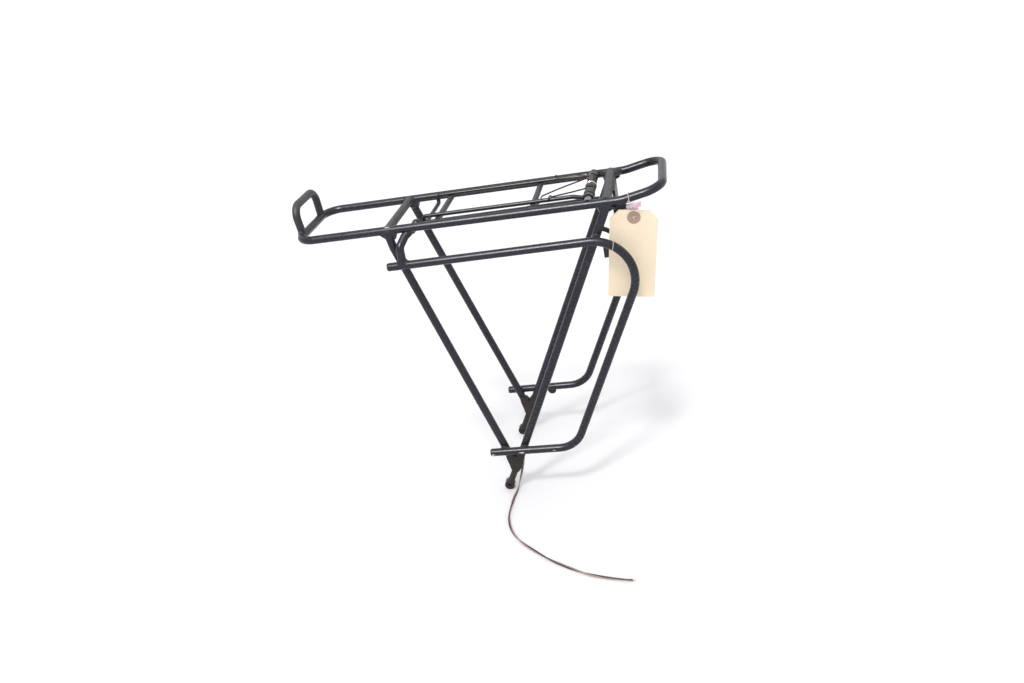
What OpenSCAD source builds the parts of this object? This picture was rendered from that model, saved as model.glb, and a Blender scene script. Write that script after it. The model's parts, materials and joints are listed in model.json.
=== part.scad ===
// Bicycle rear pannier rack with a sprung clamp bail, a rear lamp and a hanging parcel tag.
// X points to the bicycle's rear, Y to its right-hand side and Z up.
// The origin is midway between the two dropout eyelets, on their common axis.

/* [Deck] */
// Height of the deck rails' centre line above the eyelet axis
deck_z = 370; // [330:5:420]
// Width of the deck between the rails' centre lines
deck_w = 111; // [100:1:124]
// Distance from the eyelet axis forward to the deck's front cross tube
deck_front = 197; // [185:1:230]
// Distance from the eyelet axis back to the deck's rear cross tube
deck_rear = 242; // [236:1:260]
// Rise of the rear cross tube over the rails
kick_rise = 9.5; // [4:0.5:14]
// Outer diameter of every frame tube
tube_d = 10; // [9:0.5:11]
// Height of the front stop loop's top above the rails
stop_h = 36; // [28:1:50]
// Width of the front stop loop between its legs
stop_w = 70; // [56:1:76]

/* [Struts and feet] */
// Distance between the two struts' centre lines across the bicycle, at the feet
strut_w = 136; // [130:1:144]
// Distance between the outer faces of the two eyelets
eyelet_w = 139; // [132:1:146]
// Diameter of the eyelet bore
eyelet_bore = 5.3; // [5.1:0.1:6.4]
// Outer diameter of the eyelet boss
eyelet_d = 13; // [11:0.5:15]
// Length of each eyelet boss
eyelet_len = 9; // [8.5:0.5:11]

/* [Pannier hoops] */
// Height of the upper pannier rail above the eyelet axis
hoop_top_z = 331; // [324:1:334]
// Height of the lower pannier rail above the eyelet axis
hoop_low_z = 60.5; // [58:0.5:64]
// Distance between the two upper pannier rails' centre lines
hoop_top_w = 140; // [138:1:144]
// Distance between the two lower pannier rails' centre lines
hoop_low_w = 156; // [156:1:160]
// Radius of the hoops' upper bend
hoop_top_r = 47; // [40:1:52]
// Radius of the hoops' lower bend
hoop_low_r = 34; // [28:1:40]

/* [Clamp bail] */
// Diameter of the bail's wire
bail_d = 5; // [4.5:0.1:5.5]
// Distance between the bail's two arms
bail_w = 76; // [72:1:78]
// Distance from the pivot axle forward to the bail's front bar
bail_len = 197; // [192:1:200]
// Diameter of the spring wire
wire_d = 1.8; // [1.6:0.1:2.0]

/* [Rear lamp] */
// Width of the lamp's housing
lamp_w = 88; // [84:1:90]
// Height of the lamp's housing
lamp_h = 39; // [36:1:40]
// Depth of the lamp's housing, front to back
lamp_deep = 16; // [14:1:18]

/* [Tag and cable] */
// Width of the parcel tag
tag_w = 54; // [48:1:56]
// Height of the parcel tag
tag_h = 106; // [95:1:110]
// Diameter of one core of the lamp cable
core_d = 1.6; // [1.4:0.1:1.8]

/* [Hidden] */
$fn = 48;

// step and overlap where a straight run enters an elbow
seam = 0.04;
lap = 0.15;

tube_r = tube_d / 2;
rail_y = deck_w / 2;
wall = 1.5;

// deck stations along X
stop_leg_y = stop_w / 2;
stop_r = 15;
stop_d = tube_d - 0.4;
corner_r = 22;
rear_corner_r = 22;
kick_x = 195;
kick_r = 60;
front_tube_x = -81;
rod_front_x = -23;
rod_middle_x = 92;
rear_tube_x = 178.6;
rear_tube_d = tube_d + 1.8;
rod_d = 7;
rod_z = deck_z - 0.7;

// strut centre lines, each from inside a rail to its foot
strut_y = strut_w / 2;
front_strut_path = [[-81, rail_y + 1, deck_z - 1], [-77, 60.2, 350], [9.5, strut_y + 0.3, 48]];
rear_strut_path = [[179.8, rail_y, deck_z - 1], [24.7, strut_y + 0.3, 48]];
strut_r = 25;
flare_len = 11;
flare_d = 26;
front_flare_shift = 2.5;
rear_flare_shift = -2;

// foot
gusset_t = tube_d + 0.8;
gusset_y = strut_y + 0.5;
eyelet_y = (eyelet_w - eyelet_len) / 2;
neck_d = 8.4;

// pannier hoop
hoop_front_x = -85;
hoop_low_front_x = -10.5;
hoop_back_x = 228.5;
hoop_low_back_x = 100;
plug_bore = tube_d - 2 * wall;
plug_len = 10;
plug_head = 1.6;
tab_t = 3;

// clamp bail and its pivot
pivot_x = 158;
pivot_z = deck_z + 2;
axle_d = 6;
running = 0.05;
bail_y = bail_w / 2;
bail_z = rod_z + rod_d / 2 + bail_d / 2 + 0.5;
bail_drop = 10;
bail_r = 4;
eye_d = 12.6;
side_gap = 0.4;
eye_in = bail_y - 3.5;
eye_out = bail_y + 5;
cover_d = 13.4;
cover_coil_d = 9.8;
cover_neck_d = 11.4;
cover_end = -9;
collar_from = -8.6;
collar_to = 8;
open_coil_d = 11.6;
coil_from = collar_to + 0.4;

// lamp, its bracket plate and its plug
plate_t = 3;
plate_x = rear_tube_x + rear_tube_d / 2 - 0.5;
lamp_x = plate_x + plate_t;
lamp_low_z = 299;
lens_t = 5;
stay_d = 5.5;
bolt_y = 12;
bolt_z = 328;

// tag, hanging by its string from the left rail
tag_t = 0.8;
tag_tilt = 8.6;
tag_hole_drop = 8.8;
tag_hole_d = 5;
tag_hole = [207, -rail_y, 348.5];
tag_cut = 10;
tag_ring_d = 15;
tag_ring_t = 0.3;
string_d = 1;

// lamp cable: it leaves the left rear strut through a grommet, drops to the floor and lies along it
cable_d = 2 * core_d;
grommet_d = cable_d + 1.6;
floor_z = -eyelet_d / 2;
lay_z = floor_z + core_d + 0.1;
cable_root = [30, -strut_y - 0.3, 61.5];
cable_way = [-0.2, 0.6, -0.775] / norm([-0.2, 0.6, -0.775]);
cable_route = [
    cable_root + 4 * cable_way, cable_root + 10 * cable_way, [26.5, -59, 46], [24.6, -58, 38],
    [22.6, -58, 30], [20, -58.4, 21], [17.2, -60, 12], [14.4, -63.5, 4], [12, -70, -2],
    [10, -78, -4.6], [8.4, -88, lay_z], [7.2, -100, lay_z], [6.6, -113, lay_z], [7, -126, lay_z],
    [9.2, -139, lay_z], [13, -151, lay_z], [18.6, -162.5, lay_z], [26, -173, lay_z],
    [35, -183, lay_z], [46, -193, lay_z], [58, -203, lay_z], [71, -212.5, lay_z],
    [85, -221.5, lay_z], [99, -229.5, lay_z], [113, -236.5, lay_z], [127, -242, lay_z],
    [141, -246, lay_z], [155, -248.5, lay_z], [168, -250, lay_z]
];

// ---- helpers ----

function unit(v) = v / norm(v);
function flip(p, side) = [p.x, side * p.y, p.z];

// Straight rod between two points
module rod(a, b, d) {
    v = b - a;
    translate(a)
        rotate([0, acos(v.z / norm(v)), atan2(v.y, v.x)])
            cylinder(d = d, h = norm(v));
}

function turn_angle(a, b, c) = acos(min(1, unit(b - a) * unit(c - b)));
function setback(a, b, c, r) = r * tan(turn_angle(a, b, c) / 2);

// Elbow at corner b of the path a, b, c. It is a hair fatter than the rods that run into it.
module elbow(a, b, c, r, d) {
    u = unit(b - a);
    v = unit(c - b);
    n = unit(v - (u * v) * u);
    w = cross(-n, u);
    o = b - setback(a, b, c, r) * u + r * n;
    multmatrix([[-n.x, u.x, w.x, o.x], [-n.y, u.y, w.y, o.y], [-n.z, u.z, w.z, o.z], [0, 0, 0, 1]])
        rotate_extrude(angle = turn_angle(a, b, c), $fn = 96)
            translate([r, 0])
                circle(d = d + seam, $fn = 48);
}

// Tube bent through the points, with radii[i] at point i. An open tube's two ends have radius 0.
module bent_tube(points, radii, d, closed = false) {
    n = len(points);
    cut = [for (i = [0 : n - 1])
        radii[i] == 0 ? 0
        : setback(points[(i + n - 1) % n], points[i], points[(i + 1) % n], radii[i]) - lap];
    for (i = [0 : closed ? n - 1 : n - 2]) {
        j = (i + 1) % n;
        u = unit(points[j] - points[i]);
        rod(points[i] + cut[i] * u, points[j] - cut[j] * u, d);
    }
    for (i = [0 : n - 1])
        if (radii[i] > 0)
            elbow(points[(i + n - 1) % n], points[i], points[(i + 1) % n], radii[i], d);
}

// Cylinder along Y from y0 to y1
module across(x, y0, y1, z, d) {
    translate([x, y0, z])
        rotate([-90, 0, 0])
            cylinder(d = d, h = y1 - y0);
}

// ---- deck ----

// One closed tube: front cross tube, both rails and the raised rear end
module deck_loop() {
    color("#26282b")
        bent_tube(
            [[-deck_front, -rail_y, deck_z], [-deck_front, rail_y, deck_z], [kick_x, rail_y, deck_z],
             [deck_rear, rail_y, deck_z + kick_rise], [deck_rear, -rail_y, deck_z + kick_rise],
             [kick_x, -rail_y, deck_z]],
            [corner_r, corner_r, kick_r, rear_corner_r, rear_corner_r, kick_r], tube_d, closed = true);
}

// Plain rods where the deck rails run, to cope the tubes that meet them
module rail_cutter() {
    for (side = [-1, 1])
        rod([-170, side * rail_y, deck_z], [194, side * rail_y, deck_z], tube_d);
}

module front_stop_loop() {
    top = deck_z + stop_h;
    color("#26282b")
        difference() {
            bent_tube(
                [[-deck_front, -stop_leg_y + 2, deck_z], [-deck_front - 1, -stop_leg_y, top],
                 [-deck_front - 1, stop_leg_y, top], [-deck_front, stop_leg_y - 2, deck_z]],
                [0, stop_r, stop_r, 0], stop_d);
            across(-deck_front, -rail_y, rail_y, deck_z, tube_d);
        }
}

// Cross member between the rails, its ends coped to them
module cross_member(x, z, d) {
    difference() {
        across(x, -rail_y, rail_y, z, d);
        rail_cutter();
    }
}

// Cross tube over the tops of two struts, coped to them too
module cross_tube(x, d, path, shift) {
    color("#2c2e31")
        difference() {
            cross_member(x, deck_z, d);
            for (side = [-1, 1]) {
                rod(flip(path[0], side), flip(path[1], side), tube_d);
                strut_flare(path, side, shift);
            }
        }
}

module front_cross_tube() { cross_tube(front_tube_x, tube_d, front_strut_path, front_flare_shift); }

module rear_cross_tube() { cross_tube(rear_tube_x, rear_tube_d, rear_strut_path, rear_flare_shift); }

module cross_rod_front() { color("#2c2e31") cross_member(rod_front_x, rod_z, rod_d); }

module cross_rod_middle() { color("#2c2e31") cross_member(rod_middle_x, rod_z, rod_d); }

// ---- struts and feet ----

module gusset(side) {
    translate([0, side * gusset_y + gusset_t / 2, 0])
        rotate([90, 0, 0])
            linear_extrude(gusset_t)
                polygon([[5, 52], [5.4, 45.7], [7.4, 36], [8.3, 29], [10, 24], [17.2, 24], [21, 28.5],
                         [24.3, 33.5], [27.6, 44], [31.6, 52], [21, 52], [17, 47], [13.4, 52]]);
}

// Flared seat that spreads a strut's load along the rail, shifted along it from the strut's own line
module strut_flare(path, side, shift) {
    top = flip(path[0], side);
    down = unit(flip(path[1], side) - top);
    intersection() {
        translate(top + [shift, 0, 0])
            rotate([0, acos(down.z), atan2(down.y, down.x)])
                cylinder(d1 = flare_d, d2 = tube_d - 1, h = flare_len);
        translate([top.x - flare_d, side * rail_y - 0.44 * tube_d, deck_z - 2 * flare_len])
            cube([2 * flare_d, 0.88 * tube_d, 2 * flare_len]);
    }
}

module strut(path, side, shift) {
    difference() {
        union() {
            bent_tube([for (p = path) flip(p, side)], len(path) > 2 ? [0, strut_r, 0] : [0, 0], tube_d);
            strut_flare(path, side, shift);
        }
        rail_cutter();
        upper_rail_cutter(side);
        gusset(side);
    }
}

module front_strut(side) {
    color("#232528")
        difference() {
            strut(front_strut_path, side, front_flare_shift);
            // drain hole on the inner side, just above the foot
            across(7.6, side > 0 ? strut_y - 8 : -strut_y, side > 0 ? strut_y : -strut_y + 8, 56.5, 3);
        }
}

module rear_strut(side) {
    color("#232528")
        difference() {
            strut(rear_strut_path, side, rear_flare_shift);
            // cable exit, in the left strut only
            if (side < 0)
                rod(cable_root, cable_root + 12 * cable_way, grommet_d);
        }
}

module front_strut_left() { front_strut(-1); }

module front_strut_right() { front_strut(1); }

module rear_strut_left() { rear_strut(-1); }

module rear_strut_right() { rear_strut(1); }

module foot() {
    y0 = eyelet_y - eyelet_len / 2;
    color("#1f2022")
        difference() {
            union() {
                gusset(1);
                rod([0, eyelet_y, 0], [15, gusset_y, 30], neck_d);
                across(0, y0, y0 + eyelet_len, 0, eyelet_d);
            }
            across(0, y0 - 1, y0 + eyelet_len + 1, 0, eyelet_bore);
        }
}

module foot_left() { mirror([0, 1, 0]) foot(); }

module foot_right() { foot(); }

// ---- pannier hoops ----

// Centre line of a hoop, from its upper front end to its lower one
function hoop_path(side) = [
    [hoop_front_x, side * hoop_top_w / 2, hoop_top_z - 1.5],
    [hoop_back_x, side * hoop_top_w / 2, hoop_top_z + 1],
    [hoop_low_back_x, side * hoop_low_w / 2, hoop_low_z],
    [hoop_low_front_x, side * hoop_low_w / 2, hoop_low_z]
];

module pannier_hoop() {
    path = hoop_path(1);
    color("#24262a")
        difference() {
            bent_tube(path, [0, hoop_top_r, hoop_low_r, 0], tube_d);
            for (end = [path[0], path[3]])
                translate(end - [1, 0, 0])
                    rotate([0, 90, 0])
                        cylinder(d = plug_bore, h = plug_len + 2);
        }
}

module pannier_hoop_left() { mirror([0, 1, 0]) pannier_hoop(); }

module pannier_hoop_right() { pannier_hoop(); }

// Plain rod where a hoop's straight upper rail runs, to cope what meets it
module upper_rail_cutter(side) {
    rod(hoop_path(side)[0], hoop_path(side)[1], tube_d);
}

// Bent stay from the left hoop's front end, under the left rail to its inner side
module hoop_stay() {
    top = -hoop_top_w / 2;
    tip = [-47, -45, deck_z + 0.5];
    color("#232528")
        difference() {
            union() {
                bent_tube([[-67, top, hoop_top_z + 1], [-66.4, top + 0.6, deck_z - 18],
                           [-60.5, -58.5, deck_z - 9], tip], [0, 9, 9, 0], tube_d);
                translate(tip)
                    sphere(d = tube_d + 1);
            }
            rail_cutter();
            upper_rail_cutter(-1);
        }
}

// Short bridge between the rear strut and the hoop
module hoop_bridge(side) {
    path = hoop_path(side);
    color("#232528")
        difference() {
            rod([160.5, side * 57, hoop_top_z], [161.5, path[0].y, hoop_top_z], tube_d - 1);
            rod(flip(rear_strut_path[0], side), flip(rear_strut_path[1], side), tube_d);
            elbow(path[0], path[1], path[2], hoop_top_r, tube_d);
        }
}

module hoop_bridge_left() { hoop_bridge(-1); }

module hoop_bridge_right() { hoop_bridge(1); }

module end_plug(at) {
    translate(at)
        rotate([0, 90, 0]) {
            cylinder(d = plug_bore, h = plug_len);
            translate([0, 0, -plug_head])
                cylinder(d1 = tube_d - 1.4, d2 = tube_d, h = plug_head);
        }
}

module hoop_end_plugs() {
    color("#151517")
        for (side = [-1, 1]) {
            end_plug(hoop_path(side)[0]);
            end_plug(hoop_path(side)[3]);
        }
}

// Small rounded lug under the right lower rail
module lower_rail_lug() {
    y = hoop_low_w / 2;
    color("#232528")
        difference() {
            across(51, y - 2, y + 2, hoop_low_z - 5, 12);
            rod([0, y, hoop_low_z], [80, y, hoop_low_z], tube_d);
        }
}

// Small flat tab under the left rail, just behind the rear cross tube
module rail_tab() {
    color("#1a1b1d")
        difference() {
            translate([0, tab_t / 2 - rail_y + 5, 0])
                rotate([90, 0, 0])
                    linear_extrude(tab_t)
                        polygon([[185, deck_z], [185, deck_z - 16], [190, deck_z - 16], [200, deck_z - 10],
                                 [200, deck_z]]);
            rail_cutter();
            rod([194, -rail_y, deck_z], [201, -rail_y, deck_z], tube_d);
            strut_flare(rear_strut_path, -1, rear_flare_shift);
        }
}

// ---- clamp bail and pivot ----

module pivot_axle() {
    color("#6e665c")
        difference() {
            across(pivot_x, -rail_y, rail_y, pivot_z, axle_d);
            rail_cutter();
        }
}

module axle_spacer(side) {
    from = side > 0 ? eye_out + side_gap : -rail_y;
    to = side > 0 ? rail_y : -eye_out - side_gap;
    color("#8a857c")
        difference() {
            across(pivot_x, from, to, pivot_z, 9.4);
            across(pivot_x, from - 1, to + 1, pivot_z, axle_d);
            rail_cutter();
        }
}

module axle_spacer_left() { axle_spacer(-1); }

module axle_spacer_right() { axle_spacer(1); }

// Bell-shaped cover over the left spring's coil
module spring_cover() {
    length = eye_in - side_gap + cover_end;
    color("#2a2b2c")
        translate([pivot_x, cover_end, pivot_z])
            rotate([90, 0, 0])
                difference() {
                    rotate_extrude($fn = 72)
                        polygon([[axle_d / 2, 0], [cover_neck_d / 2, 0], [cover_neck_d / 2, 7],
                                 [cover_d / 2, 16], [cover_d / 2, length], [axle_d / 2, length],
                                 [axle_d / 2, length - 2], [cover_coil_d / 2 + 0.2, length - 2],
                                 [cover_coil_d / 2 + 0.2, 2], [axle_d / 2, 2]]);
                    // slot that the spring's leg swings in
                    translate([-cover_d, 1.6, 3])
                        cube([cover_d + 4, cover_d, 4]);
                }
}

module pivot_collar() {
    color("#17181a")
        difference() {
            across(pivot_x, collar_from, collar_to, pivot_z, 12.4);
            across(pivot_x, collar_from - 1, collar_to + 1, pivot_z, axle_d);
            across(pivot_x, 1.5, 4.5, pivot_z, 30);
        }
    color("#17181a")
        difference() {
            across(pivot_x, 1.5, 4.5, pivot_z, 10.4);
            across(pivot_x, 1, 5, pivot_z, axle_d);
        }
}

// Bright spring clip snapped into the collar's groove
module collar_clip() {
    color("#c9c6be")
        translate([pivot_x, 3, pivot_z])
            rotate([90, 30, 0])
                rotate_extrude(angle = 300, $fn = 72)
                    translate([6.05, 0])
                        circle(d = 1.7, $fn = 24);
}

module clamp_bail() {
    front = pivot_x - bail_len;
    low = bail_z - bail_drop;
    color("#1d1e20") {
        difference() {
            union() {
                bent_tube(
                    [[pivot_x, -bail_y, pivot_z], [pivot_x - 18, -bail_y, bail_z],
                     [front, -bail_y, bail_z], [front, -bail_y, low], [front, bail_y, low],
                     [front, bail_y, bail_z], [pivot_x - 18, bail_y, bail_z],
                     [pivot_x, bail_y, pivot_z]],
                    [0, 20, bail_r, bail_r, bail_r, bail_r, 20, 0], bail_d);
                across(pivot_x, -eye_out, -eye_in, pivot_z, eye_d);
                across(pivot_x, eye_in, eye_out, pivot_z, eye_d);
            }
            across(pivot_x, -rail_y, rail_y, pivot_z, axle_d + 2 * running);
        }
    }
}

// Close-wound coil about the axle, from y0 towards +Y, with a groove between its turns
module coil(y0, d, turns) {
    out = d / 2;
    bore = out - wire_d;
    translate([pivot_x, y0, pivot_z])
        rotate([-90, 0, 0])
            rotate_extrude($fn = 72)
                polygon(concat(
                    [[bore, 0]],
                    [for (i = [0 : turns - 1], s = [0.12, 0.5, 0.88])
                        [s == 0.5 ? out : out - 0.35, (i + s) * wire_d]],
                    [[bore, turns * wire_d]]));
}

// Hook at the end of a leg, round the top of a bail arm
function arm_hook(x, side) = [
    [x, side * (bail_y - 4), bail_z + 2], [x - 1, side * (bail_y - 1), bail_z + 4.4],
    [x - 3, side * (bail_y + 3.6), bail_z + 3.4], [x - 4, side * (bail_y + 4), bail_z - 1]
];

module torsion_spring_left() {
    turns = 10;
    leg_z = pivot_z + cover_coil_d / 2 - wire_d - 0.2;
    color("#3b332c") {
        coil(cover_end - 2.2 - turns * wire_d, cover_coil_d, turns);
        bent_tube(concat([[pivot_x - 2, -14, leg_z]], arm_hook(116, -1)), [0, 3, 3, 2, 0], wire_d);
    }
}

module torsion_spring_right() {
    leg_z = pivot_z + open_coil_d / 2 - wire_d - 0.2;
    under_z = rod_z - rod_d / 2 - wire_d / 2 - 0.4;
    color("#3b332c") {
        coil(coil_from, open_coil_d, 14);
        bent_tube(concat([[pivot_x - 2, 26, leg_z], [pivot_x - 26, 29, bail_z]], arm_hook(116, 1)),
                  [0, 10, 3, 3, 2, 0], wire_d);
        bent_tube(
            [[pivot_x - 2, 21.5, leg_z], [rod_middle_x + 8, -8.5, pivot_z],
             [rod_middle_x + 5, -11, under_z], [rod_middle_x - 4, -16, under_z],
             [rod_middle_x - 8, -24, under_z + 2]],
            [0, 3, 2, 3, 0], wire_d);
    }
}

// ---- rear lamp ----

// Outline of the lamp seen from behind, with its corners rounded
module lamp_slice(x, depth, inset) {
    half = lamp_w / 2 - inset;
    top_z = lamp_low_z + lamp_h - inset;
    translate([x, 0, 0])
        rotate([90, 0, 90])
            linear_extrude(depth)
                offset(r = 6, $fn = 48)
                    offset(delta = -6)
                        polygon([[-half, lamp_low_z + inset], [half, lamp_low_z + inset],
                                 [half, top_z - 9], [half - 22, top_z], [22 - half, top_z],
                                 [-half, top_z - 9]]);
}

module bolt_holes(d) {
    for (side = [-1, 1])
        translate([lamp_x - 12, side * bolt_y, bolt_z])
            rotate([0, 90, 0])
                cylinder(d = d, h = 22);
}

module lamp_housing() {
    color("#0f0f10")
        difference() {
            lamp_slice(lamp_x, lamp_deep, 0);
            bolt_holes(4);
        }
}

module lamp_lens() {
    color("#7c0d12")
        lamp_slice(lamp_x + lamp_deep, lens_t, 2.5);
}

// Strap down from the rear cross tube, to which the lamp is bolted
module lamp_bracket() {
    low_z = bolt_z - 9;
    color("#1a1b1d")
        difference() {
            translate([plate_x, 0, 0])
                rotate([90, 0, 90])
                    linear_extrude(plate_t)
                        polygon([[-20, deck_z + 1], [20, deck_z + 1], [20, low_z + 5], [15, low_z],
                                 [-15, low_z], [-20, low_z + 5]]);
            across(rear_tube_x, -lamp_w, lamp_w, deck_z, rear_tube_d);
            bolt_holes(4);
        }
}

module lamp_bolts() {
    color("#9a9a98")
        for (side = [-1, 1])
            translate([plate_x, side * bolt_y, bolt_z])
                rotate([0, 90, 0]) {
                    cylinder(d = 4, h = 12);
                    translate([0, 0, -3])
                        difference() {
                            cylinder(d = 7, h = 3);
                            translate([0, 0, -1])
                                cylinder(d = 3.4, h = 2.6, $fn = 6);
                        }
                }
}

// Cable plug on the lamp's front, at its left end
module lamp_plug() {
    color("#101011")
        translate([lamp_x - 20, -42, lamp_low_z + 9.5])
            rotate([90, 0, 90])
                linear_extrude(20)
                    offset(r = 2, $fn = 32)
                        square([6, 13.5], center = true);
}

// Bent rod from a rear strut to the lamp's end
module lamp_stay(side) {
    color("#3a3d40")
        difference() {
            bent_tube(
                [[166.3, side * 56.6, 342], [173.5, side * 50, 336], [181, side * 43, 328],
                 [lamp_x + 2, side * 39, 325]],
                [0, 8, 6, 0], stay_d);
            rod(flip(rear_strut_path[0], side), flip(rear_strut_path[1], side), tube_d);
            lamp_slice(lamp_x, lamp_deep, 0);
        }
}

module lamp_stay_left() { lamp_stay(-1); }

module lamp_stay_right() { lamp_stay(1); }

// ---- cable ----

module cable_grommet() {
    color("#101010")
        difference() {
            rod(cable_root + 1 * cable_way, cable_root + 9.5 * cable_way, grommet_d);
            rod(cable_root, cable_root + 10 * cable_way, cable_d + 0.1);
        }
}

// Points along the cable's route: a smooth curve through its points
function route_point(r, i, t) =
    let (n = len(r) - 1, a = r[max(0, i - 1)], b = r[i], c = r[min(n, i + 1)], d = r[min(n, i + 2)])
        0.5 * (2 * b + (c - a) * t + (2 * a - 5 * b + 4 * c - d) * t * t
            + (3 * b - a - 3 * c + d) * t * t * t);

module swept_tube(centres, radius, sides) {
    n = len(centres);
    function ring(i) =
        let (t = unit(centres[min(n - 1, i + 1)] - centres[max(0, i - 1)]),
             x = unit(cross(t, [0.35, 0.12, 1])),
             y = cross(x, t))
            [for (k = [0 : sides - 1])
                centres[i] + radius * (cos(360 * k / sides) * x + sin(360 * k / sides) * y)];
    polyhedron(
        points = [for (i = [0 : n - 1]) each ring(i)],
        faces = concat(
            [for (i = [0 : n - 2], k = [0 : sides - 1])
                [i * sides + k, (i + 1) * sides + k,
                 (i + 1) * sides + (k + 1) % sides, i * sides + (k + 1) % sides]],
            [[for (k = [0 : sides - 1]) k]],
            [[for (k = [sides - 1 : -1 : 0]) (n - 1) * sides + k]]),
        convexity = 8);
}

module lamp_cable() {
    steps = 3;
    centres = [for (i = [0 : len(cable_route) - 2], s = [0 : steps - 1])
        route_point(cable_route, i, s / steps)];
    color("#2b2b2c")
        swept_tube(concat(centres, [cable_route[len(cable_route) - 1]]), cable_d / 2, 8);
}

// ---- parcel tag ----

// Puts a drawing in the tag's own plane: X across it, Y up, its hole at the origin
module on_tag(thickness) {
    translate([tag_hole.x, tag_hole.y + thickness / 2, tag_hole.z])
        rotate([90, tag_tilt, 0])
            linear_extrude(thickness)
                children();
}

module tag_card() {
    color("#e9d6a4")
        on_tag(tag_t)
            difference() {
                translate([0, tag_hole_drop - tag_h])
                    polygon([[-tag_w / 2, 0], [tag_w / 2, 0], [tag_w / 2, tag_h - tag_cut],
                             [tag_w / 2 - tag_cut, tag_h], [tag_cut - tag_w / 2, tag_h],
                             [-tag_w / 2, tag_h - tag_cut]]);
                circle(d = tag_hole_d);
            }
}

module tag_rings() {
    color("#b98a55")
        difference() {
            on_tag(tag_t + 2 * tag_ring_t)
                difference() {
                    circle(d = tag_ring_d);
                    circle(d = tag_hole_d);
                }
            on_tag(tag_t)
                square(2 * tag_w, center = true);
        }
}

// Loop of string through the tag's hole and over the left rail
module tag_string() {
    low = tag_hole.z + 1;
    x = tag_hole.x - 3;
    r = tube_r + string_d / 2 + 1;
    top = deck_z + 1.5 + r;
    color("#e9e4e0")
        bent_tube(
            [[tag_hole.x, -rail_y - 2.2, low], [x, -rail_y - r, deck_z - 4], [x, -rail_y - r, top],
             [x, -rail_y + r, top], [x, -rail_y + r, deck_z - 4], [tag_hole.x, -rail_y + 2.2, low]],
            [0.8, 4, 3, 3, 4, 0.8], string_d, closed = true);
}

deck_loop();
front_stop_loop();
front_cross_tube();
rear_cross_tube();
cross_rod_front();
cross_rod_middle();
front_strut_left();
front_strut_right();
rear_strut_left();
rear_strut_right();
foot_left();
foot_right();
pannier_hoop_left();
pannier_hoop_right();
hoop_stay();
hoop_bridge_left();
hoop_bridge_right();
hoop_end_plugs();
lower_rail_lug();
rail_tab();
pivot_axle();
axle_spacer_left();
axle_spacer_right();
spring_cover();
pivot_collar();
collar_clip();
clamp_bail();
torsion_spring_left();
torsion_spring_right();
lamp_bracket();
lamp_stay_left();
lamp_stay_right();
lamp_housing();
lamp_lens();
lamp_bolts();
lamp_plug();
cable_grommet();
lamp_cable();
tag_card();
tag_rings();
tag_string();
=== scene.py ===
"""Looks of a bicycle rear pannier rack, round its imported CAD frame.

Everything is in the CAD's own frame: +X to the bicycle's rear, +Y to its right-hand side, +Z up,
origin midway between the two dropout eyelets. Sizes are in metres, except where a heading or a
comment says millimetres.
"""
import json
import math
import random

import bmesh
import bpy
import numpy as np
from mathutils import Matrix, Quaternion, Vector


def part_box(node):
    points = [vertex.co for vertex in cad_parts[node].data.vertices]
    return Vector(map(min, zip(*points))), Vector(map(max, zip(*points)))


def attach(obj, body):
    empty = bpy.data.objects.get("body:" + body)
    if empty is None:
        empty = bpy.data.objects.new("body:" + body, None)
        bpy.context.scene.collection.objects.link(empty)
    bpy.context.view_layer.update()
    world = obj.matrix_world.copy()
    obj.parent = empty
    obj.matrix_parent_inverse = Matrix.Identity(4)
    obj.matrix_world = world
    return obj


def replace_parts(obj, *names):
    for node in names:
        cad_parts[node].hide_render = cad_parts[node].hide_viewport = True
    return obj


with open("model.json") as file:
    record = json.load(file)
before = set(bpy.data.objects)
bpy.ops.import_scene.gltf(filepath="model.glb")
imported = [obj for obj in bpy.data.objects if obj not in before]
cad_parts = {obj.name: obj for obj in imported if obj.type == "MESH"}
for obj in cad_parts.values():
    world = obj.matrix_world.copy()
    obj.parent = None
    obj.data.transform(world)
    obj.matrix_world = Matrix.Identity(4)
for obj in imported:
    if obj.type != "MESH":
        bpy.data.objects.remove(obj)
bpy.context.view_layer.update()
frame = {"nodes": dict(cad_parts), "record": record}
nodes = frame["nodes"]

MM = 0.001
FLOOR_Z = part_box("foot_left")[0].z

# --------------------------------------------------------------------------------------
# Camera
# --------------------------------------------------------------------------------------


def add_object(name, data):
    """A new object in the scene."""
    thing = bpy.data.objects.new(name, data)
    bpy.context.collection.objects.link(thing)
    return thing


def make_camera(place, azimuth, elevation, roll, lens):
    """Azimuth 0 looks along +Y and 90 along -X; roll turns the camera about its own view line."""
    a, e = math.radians(azimuth), math.radians(elevation)
    back = Vector((math.sin(a) * math.cos(e), -math.cos(a) * math.cos(e), math.sin(e)))
    data = bpy.data.cameras.new("camera")
    data.lens = lens
    data.sensor_width = 36.0
    data.clip_start, data.clip_end = 0.05, 60.0
    camera = add_object("camera", data)
    camera.rotation_mode = "QUATERNION"
    level = (-back).to_track_quat("-Z", "Y")
    camera.rotation_quaternion = level @ Quaternion((0, 0, 1), math.radians(roll))
    camera.location = place
    bpy.context.scene.camera = camera


make_camera((0.2701, -0.9860, 0.6863), azimuth=13.89, elevation=26.54, roll=-11.83, lens=30.53)

# --------------------------------------------------------------------------------------
# Mesh helpers
# --------------------------------------------------------------------------------------


def add_piece(name, mesh, body):
    """An object that rides on a body of the frame."""
    piece = add_object(name, mesh)
    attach(piece, body)
    return piece


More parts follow.
